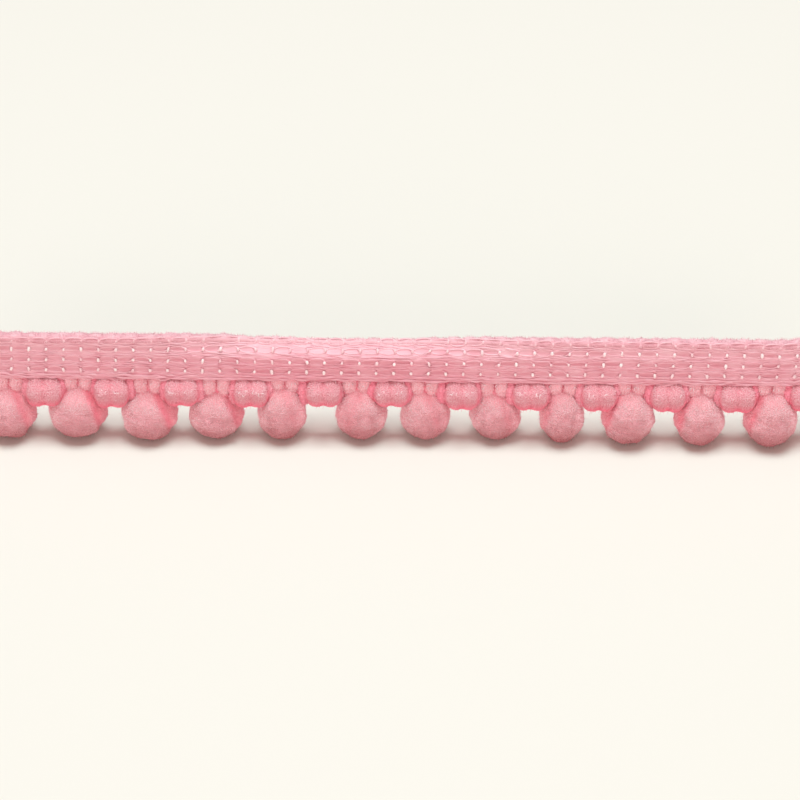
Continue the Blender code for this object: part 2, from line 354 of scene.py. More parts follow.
def clothBody():
    # the knitted ground: a grid wrapped round the cloth's section
    bm = bmesh.new()
    bmesh.ops.create_grid(bm, x_segments=courses * tape["groundColumns"],
                          y_segments=tape["groundRows"], size=0.5)
    thick, width, roundness = tape["thickness"], tape["width"], tape["roundness"]
    faceLength, turn = width - 2 * roundness, math.pi * roundness
    girth = 2 * faceLength + 2 * turn
    for vertex in bm.verts:
        along = length * (vertex.co.x + 0.5)
        run = girth * (vertex.co.y + 0.5)
        sunk = 0.0
        if run < faceLength:                    # up the face
            across, proud = roundness + run, 0.0
            sunk = tape["cellDepth"] * cellAt(along, across)
        elif run < faceLength + turn:           # over the top
            angle = (run - faceLength) / roundness
            across = width - roundness + roundness * math.sin(angle)
            proud = -thick / 2 * (1 - math.cos(angle))
        elif run < 2 * faceLength + turn:       # down the back
            across, proud = width - roundness - (run - faceLength - turn), -thick
        else:                                   # under the foot
            angle = (run - 2 * faceLength - turn) / roundness
            across = roundness - roundness * math.sin(angle)
            proud = -thick / 2 * (1 + math.cos(angle))
        inward = 0.05 if proud > -0.5 * thick else -0.05
        uneven = waver(along, across, 1.6, 0.05, 1)
        vertex.co = (along, across, proud - inward - sunk + uneven)
    bmesh.ops.remove_doubles(bm, verts=bm.verts, dist=0.01)
    rims = [edge for edge in bm.edges if edge.is_boundary]
    ends = bmesh.ops.holes_fill(bm, edges=rims, sides=0)["faces"]
    bmesh.ops.poke(bm, faces=ends, offset=0.1)
    bmesh.ops.recalc_face_normals(bm, faces=bm.faces)
    return meshFrom(bm, "clothBody")


def chainStitches(rng):
    # one loop to a stitch: two legs that spread, and a head drawn up over the next
    end = length - tape["stitchEnd"]
    loops, heads = [], []
    for wale in range(tape["wales"]):
        top = wale == tape["wales"] - 1
        row = tape["firstWale"] + wale * tape["wale"] - (tape["topRowDrop"] if top else 0.0)
        for course in range(courses - 1):
            start = (course + tape["stitchStart"]) * trim["course"] + tape["waleStagger"] * wale
            slant, spread = rng.uniform(-0.25, 0.3), rng.uniform(0.8, 1.15)
            lift = rng.uniform(0.75, 1.15) * (0.3 if top else 1.0)
            across = row + rng.uniform(-0.05, 0.05)
            path = []
            for hand, leg in ((1, tape["leg"]), (-1, tape["leg"][::-1])):
                for share, out, proud, girth in leg:
                    along = start + share * trim["course"]
                    if share > 0.85:            # the top of a loop slants
                        along += slant * hand * out / 0.25
                    aside = hand * out * (spread if share > 0.1 else 1)
                    path.append((min(along, end), across + aside, proud * lift, girth))
            loops.append(path)
            tall, stout = 0.12 + 0.14 * rng.random() ** 2, rng.uniform(0.85, 1.25)
            proud = 0.02 if top else 0.15 * lift
            heads.append([(min(start + 0.98 * trim["course"] + slant * step * tall, end),
                           across + step * tall, proud - 0.07 * step * step,
                           stout * (1 - 0.35 * step * step))
                          for step in (-1.0, -0.5, 0.0, 0.5, 1.0)])
    return (yarnMesh("chainStitches", loops, tape["chainYarn"], closed=True),
            yarnMesh("stitchHeads", heads, tape["headYarn"]))


def longYarn(rng, across, proud, look):
    # a yarn that runs the length of the cloth, wanders a little and swells where it rises
    steps = courses * tape["yarnSteps"]
    seed = rng.random() * 90
    path = []
    for i in range(steps + 1):
        along = length * i / steps
        rise = waver(along, across, 0.9, 1.0, seed + look["turn"])
        aside = waver(along, across, look["wave"], look["wander"], seed)
        path.append((along, across + aside, proud + look["rise"] * rise,
                     look["girth"] + look["swell"] * rise))
    return path


def inlays(rng):
    # fine yarns between the rows of stitches
    places = [0.95, 1.85]
    for wale in range(tape["wales"] - 1):
        row = tape["firstWale"] + (wale + 0.5) * tape["wale"]
        places += [row - 0.19, row, row + 0.19]
    strands = [longYarn(rng, across, -0.05, tape["inlay"]) for across in places]
    return yarnMesh("inlays", strands, tape["inlayYarn"])


def backInlays(rng):
    # plainer yarns on the back, which hardly shows
    steps = courses * tape["yarnSteps"]
    strands = []
    for strip in range(tape["backInlays"]):
        across = 0.45 + strip * 0.42
        seed = rng.random() * 90
        path = []
        for i in range(0, steps + 1, 2):
            along = length * i / steps
            path.append((along, across + waver(along, across, 1.9, 0.14, seed),
                         -tape["thickness"] + 0.02 + waver(along, across, 1.0, 0.05, seed)))
        strands.append(path)
    return yarnMesh("backInlays", strands, tape["inlayYarn"], sides=0)


def bindings(rng):
    # the thicker threads that bind the pile under the lower edge
    strands = [longYarn(rng, *place, tape["binding"]) for place in tape["bindings"]]
    return yarnMesh("bindings", strands, tape["bindingYarn"])


def selvedgeBeat(along, proud):
    # 1 where a loop of the edge stands up, 0 between two loops
    beat = along / trim["course"] + 0.15 * proud + waver(along, 0, 5.0, 0.6, 8)
    return 0.5 + 0.5 * math.sin(2 * math.pi * beat)


def selvedge(rng):
    # the looped upper edge: soft yarns along it that swell once a course
    steps = courses * tape["selvedgeSteps"]
    strands = []
    for across, proud in tape["selvedges"]:
        seed = rng.random() * 90
        path = []
        for i in range(steps + 1):
            along = length * i / steps
            bulge = selvedgeBeat(along, proud) * (0.7 + waver(along, across, 3.1, 1.0, seed))
            path.append((along,
                         across + 0.09 * bulge - 0.04 + waver(along, across, 2.6, 0.08, seed),
                         proud + waver(along, across, 1.7, 0.05, seed + 5), 0.95 + 0.22 * bulge))
        strands.append(path)
    return yarnMesh("selvedge", strands, tape["selvedgeYarn"])


def onCloth(mesh, material, **values):
    # keeps where each point is on the flat cloth, then puts the cloth in its place
    flat = points(mesh)
    keepValue(mesh, "along", flat[:, 0])
    keepValue(mesh, "across", flat[:, 1])
    for name, valueAt in values.items():
        keepValue(mesh, name, valueAt(flat))
    # painted light where the cloth bends back, and painted shade below the fold where the part
    # above leans far back
    bent, tilt = bentAt(flat[:, 1]), tiltAt(flat[:, 0])
    keepValue(mesh, "foldLightShade", bent * (0.3 + 0.27 * tilt) - 0.4 * (1 - bent) * tilt)
    setPoints(mesh, tapePoints(flat))
    mesh.materials.clear()
    mesh.materials.append(material)
    mesh.shade_smooth()
    return mesh


def groundCellShade(flat):
    # painted shade inside each chain loop, fainter where the cloth is folded back
    shown = eased((flat[:, 2] + 0.5) / 0.3) * (1 - 0.55 * bentAt(flat[:, 1]) * tiltAt(flat[:, 0]))
    return shown * np.array([cellAt(along, across) for along, across, proud in flat])


def edgeBeat(flat):
    return np.array([selvedgeBeat(along, proud) for along, across, proud in flat])


def edgeHighlight(flat):
    # painted highlight on the loops' tops, stronger where the cloth leans back
    top = eased((flat[:, 1] - 4.95) / 0.25) * (0.1 + 0.52 * edgeBeat(flat))
    return np.clip(top + 0.45 * tiltAt(flat[:, 0]), 0, 0.95)


def edgeCellShade(flat):
    # painted shade: a small shadowed hole under each loop
    below = eased((5.0 - flat[:, 1]) / 0.2) * eased((flat[:, 2] + 0.3) / 0.2)
    return 0.5 * (1 - edgeBeat(flat)) ** 2 * below


def stitchHighlight(flat):
    # painted highlight: 1 on the head of a stitch, differing from stitch to stitch
    course = np.round((flat[:, 0] - 0.06) / trim["course"])
    wale = np.round((flat[:, 1] - tape["firstWale"]) / tape["wale"])
    luck = np.modf(np.abs(np.sin(course * 12.9898 + wale * 78.233) * 43758.5453))[0]
    # the painted highlight is fainter on the two upper rows: the top one everywhere, the third
    # where the cloth is folded back
    faint = np.where(wale > 2.5, 0.2, np.where(wale > 1.5, 1 - 0.65 * tiltAt(flat[:, 0]), 1.0))
    return (0.3 + 0.7 * luck ** 0.6) * faint


def yarnMaterial(name):
    # Textured polyester filament yarn, knitted: many fine filaments side by side, so
    # thin streaks of lighter and deeper pink run along it, with a soft satin gloss.
    look = tape["yarns"][name]
    material, shader = newMaterial(name)
    tree = material.node_tree
    kept = {value: addNode(tree, "ShaderNodeAttribute", {"attribute_name": value})
            for value in ("along", "across", "foldLightShade")}
    place = addNode(tree, "ShaderNodeCombineXYZ", {},
                    {"X": (kept["along"], "Fac"), "Y": (kept["across"], "Fac")})
    # filaments are 0.02 mm thick: drawn at 0.12 mm, so that they show
    filaments = addNode(tree, "ShaderNodeMapping", {"Scale": (1 / 1.6, 1 / 0.12, 1.0)},
                        {"Vector": (place, "Vector")})
    streaks = addNode(tree, "ShaderNodeTexNoise", {"Scale": 1.0, "Detail": 3.0, "Roughness": 0.6},
                      {"Vector": (filaments, "Vector")})
    patches = addNode(tree, "ShaderNodeTexNoise", {"Scale": 1 / 2.5, "Detail": 1.0},
                      {"Vector": (place, "Vector")})
    tone = addNode(tree, "ShaderNodeMath", {"operation": "MULTIPLY_ADD", 1: 0.35},
                   {0: (patches, "Fac"), 2: (streaks, "Fac")})
    # the fold's painted light and shade added to the tone
    toneAndFoldLight = addNode(tree, "ShaderNodeMath", {"operation": "MULTIPLY_ADD", 1: 0.3},
                      {0: (kept["foldLightShade"], "Fac"), 2: (tone, "Value")})
    pinks = addNode(tree, "ShaderNodeValToRGB", {}, {"Fac": (toneAndFoldLight, "Value")})
    for stop, position, colour in zip(pinks.color_ramp.elements, (0.42, 1.0), ("deep", "pale")):
        stop.position, stop.color = position, linear(look[colour])
    # painted shade inside a loop, where the ground lies deeper, and a painted highlight on a crown
    shown = (pinks, "Color")
    for value in [name for name in ("cell", "crown") if name in look]:
        amount = addNode(tree, "ShaderNodeAttribute", {"attribute_name": value})
        mixed = addNode(tree, "ShaderNodeMix", {"data_type": "RGBA", 7: linear(look[value])},
                        {"Factor": (amount, "Fac"), 6: shown})
        shown = (mixed, 2)
    tree.links.new(socketOf(shown[0].outputs, shown[1]), shader.inputs["Base Color"])
    bump = addNode(tree, "ShaderNodeBump", {"Strength": 0.5, "Distance": 0.00004},
                   {"Height": (streaks, "Fac")})
    tree.links.new(bump.outputs["Normal"], shader.inputs["Normal"])
    shader.inputs["Roughness"].default_value = look["roughness"]
    shader.inputs["IOR"].default_value = 1.57     # polyester
    shader.inputs["Sheen Weight"].default_value = 0.1
    shader.inputs["Sheen Roughness"].default_value = 0.5
    return material


def fuzzNodes(material):
    # fine loose filaments that stand off the upper edge
    tree, body = newGroup("selvedgeFuzz")
    normal = addNode(tree, "GeometryNodeInputNormal")
    facing = addNode(tree, "ShaderNodeSeparateXYZ", {}, {"Vector": (normal, "Normal")})
    upper = addNode(tree, "FunctionNodeCompare",
                    {"data_type": "FLOAT", "operation": "GREATER_THAN", "B": 0.35},
                    {"A": (facing, "Z")})
    spots = addNode(tree, "GeometryNodeDistributePointsOnFaces",
                    {"distribute_method": "RANDOM", "Density": tape["fuzz"]["density"], "Seed": 4},
                    {"Mesh": (body, "Geometry"), "Selection": (upper, "Result")})
    return closeGroup(tree, [looseFibres(tree, spots, tape["fuzz"], "crown"), body], material)


def headingTape():
    rng = random.Random(tape["seed"])
    ground, chain, edge = [yarnMaterial(name) for name in tape["yarns"]]
    loops, heads = chainStitches(rng)
    made = [
        onCloth(clothBody(), ground, cell=groundCellShade),
        onCloth(loops, chain),
        onCloth(heads, chain, crown=stitchHighlight),
        onCloth(inlays(rng), ground),
        onCloth(backInlays(rng), ground),
        onCloth(bindings(rng), chain),
        grown(onCloth(selvedge(rng), edge, crown=edgeHighlight, cell=edgeCellShade), fuzzNodes(edge)),
    ]
    finished(joined("headingTape", made), ["heading_tape"])


headingTape()
print("heading tape knitted")


# pile

pile = {
    # width, height, depth, sway to the right of its neck, how far forward
    "balls": [
        (5.3, 4.9, 5.1, 0.1, 0.0), (5.65, 4.9, 5.3, -0.2, 0.0), (5.75, 5.0, 5.3, -0.14, -0.1),
        (5.7, 4.7, 5.3, 0.1, 0.0), (5.55, 4.5, 5.2, -0.1, -0.4), (4.85, 5.3, 4.7, -0.42, -0.1),
        (5.1, 5.1, 4.9, 0.58, -0.3), (5.05, 4.9, 5.0, 0.1, -0.42), (5.15, 4.8, 4.9, 0.22, -0.55),
        (4.55, 5.2, 4.6, -0.12, -0.15), (5.35, 5.3, 5.1, -0.4, 0.0), (5.0, 5.1, 4.9, -0.16, 0.05),
        (5.4, 5.4, 5.2, 0.03, 0.0), (5.2, 5.0, 5.0, -0.05, 0.05)],
    # where the parting of a ball's two bundles lies, -1 left to 1 right, and its depth
    "partings": [(0.5, 0.1), (0.5, 0.12), (0.58, 0.16), (0.54, 0.16), (0.6, 0.14), (0.3, 0.05),
                 (-0.2, 0.05), (0.25, 0.06), (0.3, 0.06), (-0.55, 0.08), (-0.62, 0.13),
                 (-0.66, 0.14), (-0.6, 0.14), (-0.5, 0.12)],
    "deepestParting": 0.16,
    "partingWidth": 0.16,
    # how far the upper half rises round the neck
    "crowns": [1.1, 1.1, 1.2, 1.1, 1.1, 1.12, 1.12, 1.12, 1.1, 1.08, 1.1, 1.1, 1.1, 1.1],
    "buds": [
        (3.1, 3.0, 2.8, 0.05, 0.15), (3.3, 3.0, 2.9, 0.06, 0.2), (3.1, 3.1, 2.9, -0.14, 0.2),
        (3.1, 2.9, 2.8, -0.08, 0.1), (3.2, 2.9, 2.8, -0.03, 0.15), (3.2, 2.8, 2.7, 0.3, 0.1),
        (3.2, 2.8, 2.7, 0.16, 0.0), (3.0, 3.0, 2.8, 0.3, 0.1), (3.2, 3.0, 2.8, 0.22, 0.05),
        (3.2, 3.0, 2.9, 0.16, 0.05), (3.2, 3.0, 2.8, 0.1, 0.05), (3.3, 3.0, 2.9, 0.1, 0.0),
        (3.0, 3.0, 2.8, -0.03, 0.0)],
    "budFill": 0.55,           # wider by this, to fill the room between two balls
    "budRise": 0.12,           # into the tape's foot
    "budCurls": [0, 0, 2, 2, 4, 0, 2, 4, 4, 2, 1, 0, 0],   # yarn loops on each bundle
    "neckCurls": 2,
    "curlDrop": 0.3,           # below the tufts' top
    "neckWidth": 1.66,
    "neckDepth": 1.5,
    "neckBack": 0.7,
    "neckSpread": 0.76,        # a tuft's middle from the middle of its pair
    "curlSpread": 0.74,
    "neckSway": 0.3,           # share of the ball's sway that its tufts follow
    "top": 6.7,                # where the tufts leave the tape
    "flats": 9,                # flats that the shears leave on a ball
    "lumps": 0.045,
    "lumpSize": 1.6,
    "ballInset": 0.084,        # the body is this much smaller, to leave room for its pile
    "budInset": 0.08,
    "root": ((1.2, 0.5, 1.9), 0.62, 5.3),    # half size, how far back, and how high
    "fill": ((0.55, 0.8, 1.5), 0.4, 5.2),
    # how the fibres grow: how many to a square mm, their length and radius, the size of
    # their clumps, how far these tilt, and how far the comb pulls them down
    "growth": {
        "ball": {"density": 92.0, "length": 0.12, "thick": 0.102, "clump": 0.55, "tilt": 1.2,
                 "jitter": 0.25, "comb": 0.0, "uneven": 0.9, "strays": 7.0},
        "neck": {"density": 85.0, "length": 0.13, "thick": 0.095, "clump": 0.5, "tilt": 0.8,
                 "jitter": 0.3, "comb": 1.1, "uneven": 0.6, "strays": 3.0},
        "bud": {"density": 115.0, "length": 0.12, "thick": 0.09, "clump": 0.6, "tilt": 1.1,
                "jitter": 0.35, "comb": 0.6, "uneven": 0.7, "strays": 4.0},
        "root": {"density": 24.0, "length": 0.14, "thick": 0.15, "clump": 0.6, "tilt": 1.0,
                 "jitter": 0.4, "comb": 0.5, "uneven": 0.6, "strays": 3.0},
    },
    "stray": {"length": 1.0, "thick": 0.024, "tip": 1.0},
    "looks": {
        # long pile sheared to a ball: dusty pale tips, and painted shade, dull and deep, on the
        # underside
        "cutAcrylicPile": {"tipDeep": "#dba9b0", "tipPale": "#f4e6e8", "root": "#e7b0b7",
                           "paintedShadePink": "#eb8798", "underShade": "#bf7a7e", "sheen": 0.2},
        # short bundles cut close: fuller pink, with painted light making them paler on top
        "shortCutPile": {"tipDeep": "#e09ea7", "tipPale": "#fae6e9", "root": "#e6a1ac",
                         "paintedShadePink": "#f2869b", "sheen": 0.15},
        # uncut ends bound into the tape, painted bright and pink where one looks between the tufts
        "looseRootPile": {"tipDeep": "#f6b4c0", "tipPale": "#ffeaee", "root": "#f8b8c4",
                          "paintedShadePink": "#f590a6", "sheen": 0.08},
        # bundles combed straight down: even, and painted lighter than the bud pile to make up for
        # the shade under the tape
        "combedTuftPile": {"tipDeep": "#fcb9c4", "tipPale": "#fceaee", "root": "#fcbdc7",
                           "paintedShadePink": "#f48297", "sheen": 0.08},
    },
    "sheenTint": "#ffa6b6",
    "paintedGlowColour": "#f5a0ae",      # colour of the painted glow, for light that has gone through the pile
    "pressedGlow": 0.045,     # strength of the painted glow where the pile is pressed and where it is thin
    "thinGlow": 0.09,
}


def pileMaterial(name):
    # Cut pile of fine acrylic yarn: matt and velvety. The roots and partings are painted a strong
    # pink, painted shade for light that goes deep between the fibres, and the cut tips pale.
    look = pile["looks"][name]
    material, shader = newMaterial(name)
    tree = material.node_tree
    kept = {value: addNode(tree, "ShaderNodeAttribute", {"attribute_name": value})
            for value in ("tip", "shade", "crestLight", "paintedGlow")}
    where = addNode(tree, "ShaderNodeTexCoord")
    # strands of pile lie together in combed locks about 0.25 mm wide and 1.2 mm long
    combed = addNode(tree, "ShaderNodeMapping",
                     {"Rotation": (0.3, 0.35, 0.0), "Scale": (1 / 0.0012, 1 / 0.0012, 1 / 0.00025)},
                     {"Vector": (where, "Object")})
    locks = addNode(tree, "ShaderNodeTexNoise", {"Scale": 1.0, "Detail": 2.0, "Distortion": 0.6},
                    {"Vector": (combed, "Vector")})
    # painted light: the tops, and a ball's sides, are painted paler
    crestLit = addNode(tree, "ShaderNodeMath", {"operation": "MULTIPLY_ADD", 1: 0.45},
                     {0: (kept["crestLight"], "Fac"), 2: (locks, "Fac")})
    mottle = addNode(tree, "ShaderNodeMath", {"operation": "MULTIPLY_ADD", 1: 0.15},
                     {0: (kept["shade"], "Fac"), 2: (crestLit, "Value")})
    tips = addNode(tree, "ShaderNodeValToRGB", {}, {"Fac": (mottle, "Value")})
    for stop, place, colour in zip(tips.color_ramp.elements, (0.4, 1.0), ("tipDeep", "tipPale")):
        stop.position, stop.color = place, linear(look[colour])
    shown = addNode(tree, "ShaderNodeMix", {"data_type": "RGBA", 6: linear(look["root"])},
                    {"Factor": (kept["tip"], "Fac"), 7: (tips, "Color")})
    # painted shade: a fuller pink between the fibres and where parts meet, and dull and deep
    # underneath
    for value in [name for name in ("paintedShadePink", "underShade") if name in look]:
        amount = addNode(tree, "ShaderNodeAttribute", {"attribute_name": value})
        shown = addNode(tree, "ShaderNodeMix", {"data_type": "RGBA", 7: linear(look[value])},
                        {"Factor": (amount, "Fac"), 6: (shown, 2)})
    tree.links.new(shown.outputs[2], shader.inputs["Base Color"])
    # painted glow: a faint emission, for light that has gone through the pile, where it is thin and
    # where it is pressed
    tree.links.new(kept["paintedGlow"].outputs["Fac"], shader.inputs["Emission Strength"])
    shader.inputs["Emission Color"].default_value = linear(pile["paintedGlowColour"])
    shader.inputs["Roughness"].default_value = 0.9
    shader.inputs["IOR"].default_value = 1.5       # acrylic
    shader.inputs["Specular IOR Level"].default_value = 0.15
    shader.inputs["Sheen Weight"].default_value = look["sheen"]
    shader.inputs["Sheen Roughness"].default_value = 0.6
    shader.inputs["Sheen Tint"].default_value = linear(pile["sheenTint"])
    return material


def pileNodes(piece, material):
    # grows short pointed locks of fibre all over a body, bent together in clumps
    look = pile["growth"][piece]
    tilt, jitter, uneven = look["tilt"], look["jitter"], look["uneven"]
    tree, body = newGroup(f"{piece}PileNodes")
    spots, strays = [addNode(tree, "GeometryNodeDistributePointsOnFaces",
                             {"distribute_method": "RANDOM", "Density": look[many], "Seed": seed},
                             {"Mesh": (body, "Geometry")})
                     for many, seed in (("density", 3), ("strays", 8))]
    place = addNode(tree, "GeometryNodeInputPosition")
    lie = addNode(tree, "ShaderNodeTexNoise", {"Scale": 1 / look["clump"], "Detail": 2.0},
                  {"Vector": (place, "Position")})
    sway = addNode(tree, "ShaderNodeVectorMath",
                   {"operation": "MULTIPLY_ADD", 1: (tilt,) * 3, 2: (-0.5 * tilt,) * 3},
                   {0: (lie, "Color")})
    astray = addNode(tree, "FunctionNodeRandomValue",
                     {"data_type": "FLOAT_VECTOR", 0: (-jitter,) * 3, 1: (jitter,) * 3, "Seed": 11})
    leaning = addNode(tree, "ShaderNodeVectorMath", {"operation": "ADD"},
                      {0: (spots, "Normal"), 1: (sway, "Vector")})
    loose = addNode(tree, "ShaderNodeVectorMath", {"operation": "ADD"},
                    {0: (leaning, "Vector"), 1: (astray, 0)})
    combed = addNode(tree, "ShaderNodeVectorMath", {"operation": "ADD", 1: (0, 0, -look["comb"])},
                     {0: (loose, "Vector")})
    turn = addNode(tree, "FunctionNodeAlignRotationToVector", {"axis": "Z"},
                   {"Vector": (combed, "Vector")})
    lock = addNode(tree, "GeometryNodeMeshCone",
                   {"fill_type": "NONE", "Vertices": 3, "Radius Top": 0.0,
                    "Radius Bottom": look["thick"], "Depth": look["length"]})
    height = addNode(tree, "ShaderNodeSeparateXYZ", {}, {"Vector": (place, "Position")})
    share = addNode(tree, "ShaderNodeMath", {"operation": "DIVIDE", 1: look["length"]},
                    {0: (height, "Z")})
    tipped = addNode(tree, "GeometryNodeStoreNamedAttribute",
                     {"data_type": "FLOAT", "domain": "POINT", "Name": "tip"},
                     {"Geometry": (lock, "Mesh"), "Value": (share, "Value")})
    swell = addNode(tree, "ShaderNodeMath",
                    {"operation": "MULTIPLY_ADD", 1: uneven, 2: 1 - uneven / 2}, {0: (lie, "Fac")})
    # a lock's own height, the shade of its fibres, and the reach of a stray fibre
    luck, tone, reach = [addNode(tree, "FunctionNodeRandomValue",
                                 {"data_type": "FLOAT", 2: least, 3: most, "Seed": seed})
                         for least, most, seed in ((0.75, 1.2, 23), (0, 1, 31), (0.25, 0.55, 17))]
    tall = addNode(tree, "ShaderNodeMath", {"operation": "MULTIPLY"},
                   {0: (swell, "Value"), 1: (luck, 1)})
    size = addNode(tree, "ShaderNodeCombineXYZ", {"X": 1.0, "Y": 1.0}, {"Z": (tall, "Value")})
    locks = addNode(tree, "GeometryNodeInstanceOnPoints", {},
                    {"Points": (spots, "Points"), "Instance": (tipped, "Geometry"),
                     "Rotation": (turn, "Rotation"), "Scale": (size, "Vector")})
    toned = addNode(tree, "GeometryNodeStoreNamedAttribute",
                    {"data_type": "FLOAT", "domain": "INSTANCE", "Name": "shade"},
                    {"Geometry": (locks, "Instances"), "Value": (tone, 1)})
    real = addNode(tree, "GeometryNodeRealizeInstances", {}, {"Geometry": (toned, "Geometry")})
    # a few long loose fibres soften the outline
    thin = addNode(tree, "ShaderNodeCombineXYZ", {"X": 1.0, "Y": 1.0}, {"Z": (reach, 1)})
    hairs = looseFibres(tree, strays, pile["stray"], "tip", Scale=(thin, "Vector"))
    return closeGroup(tree, [real, hairs, body], material)


def keepPaintedShadeAndGlow(mesh, paintedShadePink, thin=0.0):
    # painted shade: how strong a pink is painted between the fibres and parts;
    # painted glow: how much light seems to come through
    paintedShadePink = np.clip(paintedShadePink, 0, 0.95)
    keepValue(mesh, "paintedShadePink", paintedShadePink)
    keepValue(mesh, "paintedGlow", pile["pressedGlow"] * paintedShadePink + pile["thinGlow"] * thin)


def roundBody(name, detail):
    bm = bmesh.new()
    bmesh.ops.create_icosphere(bm, subdivisions=detail, radius=1.0)
    return meshFrom(bm, name)


def lumped(where, seed, amount, size):
    shift = Vector((seed * 7.3, seed * 3.1, seed * 5.7))
    lumps = np.array([noise.noise(Vector(co) / size + shift) for co in where])
    return where * (1 + amount * lumps)[:, None]


def placed(where, along, back, height):
    heading = float(planAt(along)[2])
    cosine, sine = math.cos(heading), math.sin(heading)
    turned = np.stack([where[:, 0] * cosine - where[:, 1] * sine,
                       where[:, 0] * sine + where[:, 1] * cosine, where[:, 2]], axis=-1)
    return turned + onTrim(along, back, height)


def measures(kind, index):
    # one row of pile["balls"] or pile["buds"]
    return dict(zip(("width", "height", "depth", "sway", "forward"), pile[kind][index]))


def ballCentre(index):
    ball = measures("balls", index)
    return onTrim((index + 0.5) * repeat + ball["sway"], -ball["forward"], ball["height"] / 2)


def ballReach(index):
    ball = measures("balls", index)
    return np.array([ball["width"], ball["depth"], ball["height"]]) / 2


def budCentre(index):
    row = measures("buds", index)
    return onTrim((index + 1) * repeat + row["sway"], -row["forward"],
                  pile["top"] - row["height"] / 2 + pile["budRise"])


def budReach(index):
    row = measures("buds", index)
    return np.array([row["width"] + pile["budFill"], row["depth"], row["height"]]) / 2


def neckAlong(index):
    return (index + 0.5) * repeat + pile["neckSway"] * measures("balls", index)["sway"]


def neckCentre(index, side):
    height = (pile["top"] + measures("balls", index)["height"] - 0.6) / 2
    return onTrim(neckAlong(index) + side * pile["neckSpread"], pile["neckBack"], height)


def neckReach(index):
    # a tuft reaches 0.9 mm into its ball and 0.3 mm into the tape
    height = pile["top"] + 1.2 - measures("balls", index)["height"]
    return np.array([pile["neckWidth"], pile["neckDepth"], height]) / 2


def nearBody(where, centre, reach, depth):
    # 1 where a point is against a rounded neighbour, 0 from a little way off
    share = np.linalg.norm((where - centre) / reach, axis=1)
    return eased(1 - (share - 1) * np.mean(reach) / depth)


def ballBody(index):
    # a large pompom's body: lumpy, clipped in flats, parted between its two bundles
    ball, size = measures("balls", index), ballReach(index)
    parting, cut = pile["partings"][index]
    rng = random.Random(index + 40)
    mesh = roundBody(f"ball{index + 1}", 4)
    where = points(mesh)
    for flat in range(pile["flats"]):
        out = np.array([rng.gauss(0, 1) for axis in range(3)])
        out /= np.linalg.norm(out)
        beyond = where @ out - rng.uniform(0.9, 0.98)
        where -= np.maximum(beyond, 0)[:, None] * out * 0.6
    hand = 1 if parting > 0 else -1
    slope = np.array([math.cos(0.3), math.sin(0.3) * hand, 0.25 * hand])
    fromParting = (where @ slope - parting) * hand
    groove = np.exp(-(fromParting / pile["partingWidth"]) ** 2)
    where = where * (1 - 0.45 * cut * groove)[:, None]
    where[:, :2] *= (1 + 0.06 * np.minimum(where[:, 2:], 0) ** 2)
    where[:, 2] *= np.where(where[:, 2] > 0, pile["crowns"][index], 1.0)
    where = lumped(where * size, index + 1, pile["lumps"], pile["lumpSize"])
    where = lumped(where, index + 60, 0.07, 0.9)
    low = where[:, 2] < -0.92 * size[2]
    where *= (size - pile["ballInset"]) / size
    where[low, 2] = -size[2] + 0.15              # flat where it stands
    high = where[:, 2] / size[2]
    beside = np.abs(where[:, 0]) / size[0]
    # painted shade: a fuller pink in the parting and on the far side of it
    paintedShadePink = (cut / pile["deepestParting"]) * (0.8 * groove * eased((high + 0.7) / 0.6)
                                              + 0.4 * eased(fromParting / 0.3))
    # painted shade: darker and duller towards the bottom
    keepValue(mesh, "underShade", eased((0.15 - high) / 1.1))
    # painted light: paler on top and at the sides
    keepValue(mesh, "crestLight", np.maximum(
        eased((high - 0.35) / 0.5), 0.9 * eased((beside - 0.4) / 0.45) * eased((high + 0.9) / 0.6)))
    where = placed(where, (index + 0.5) * repeat + ball["sway"], -ball["forward"],
                   ball["height"] / 2)
    for side in (-1, 1):                         # the pile rises round each tuft
        centre = neckCentre(index, side)
        aside = np.linalg.norm((where - centre)[:, :2], axis=1)
        where[:, 2] += 0.4 * np.exp(-(aside / 0.9) ** 2) * eased(high / 0.5)
        # painted shade: a slightly fuller pink next to each tuft
        paintedShadePink = np.maximum(paintedShadePink, 0.15 * nearBody(where, centre, neckReach(index), 0.2))
    for other in (index - 1, index):             # painted shade: a fuller pink beside a bud
        if 0 <= other < trim["repeats"] - 1:
            paintedShadePink = np.maximum(paintedShadePink, nearBody(where, budCentre(other), budReach(other), 0.4))
    # painted glow at the sides and on the top
    thin = np.maximum(eased((beside - 0.5) / 0.4) * eased((high + 0.8) / 0.5),
                      eased((high - 0.75) / 0.25))
    keepPaintedShadeAndGlow(mesh, paintedShadePink, thin)
    setPoints(mesh, where)
    return mesh


def neckBody(index, side):
    # one of the two bundles from which a large pompom hangs
    mesh = roundBody(f"neck{index + 1}", 3)
    size = neckReach(index)
    where = lumped(points(mesh) * size, index * 2 + side + 200, 0.08, 0.8)
    where[:, :2] *= (1 + 0.15 * np.maximum(where[:, 2:] / size[2], 0))
    where[:, 1] -= 0.25 * where[:, 2]
    sideways = np.abs(where[:, 0]) / size[0]
    low = eased((0.1 - where[:, 2] / size[2]) / 0.7)
    # painted shade: a fuller pink at the sides and on the lower part
    keepPaintedShadeAndGlow(mesh, 0.85 * eased((sideways - 0.65) / 0.3) + 0.2 * low)
    # painted light: the tufts are painted pale all over
    keepValue(mesh, "crestLight", np.full(len(where), 0.9))
    turned = np.array(Matrix.Rotation(float(planAt((index + 0.5) * repeat)[2]), 3, "Z"))
    setPoints(mesh, where @ turned.T + neckCentre(index, side))
    return mesh


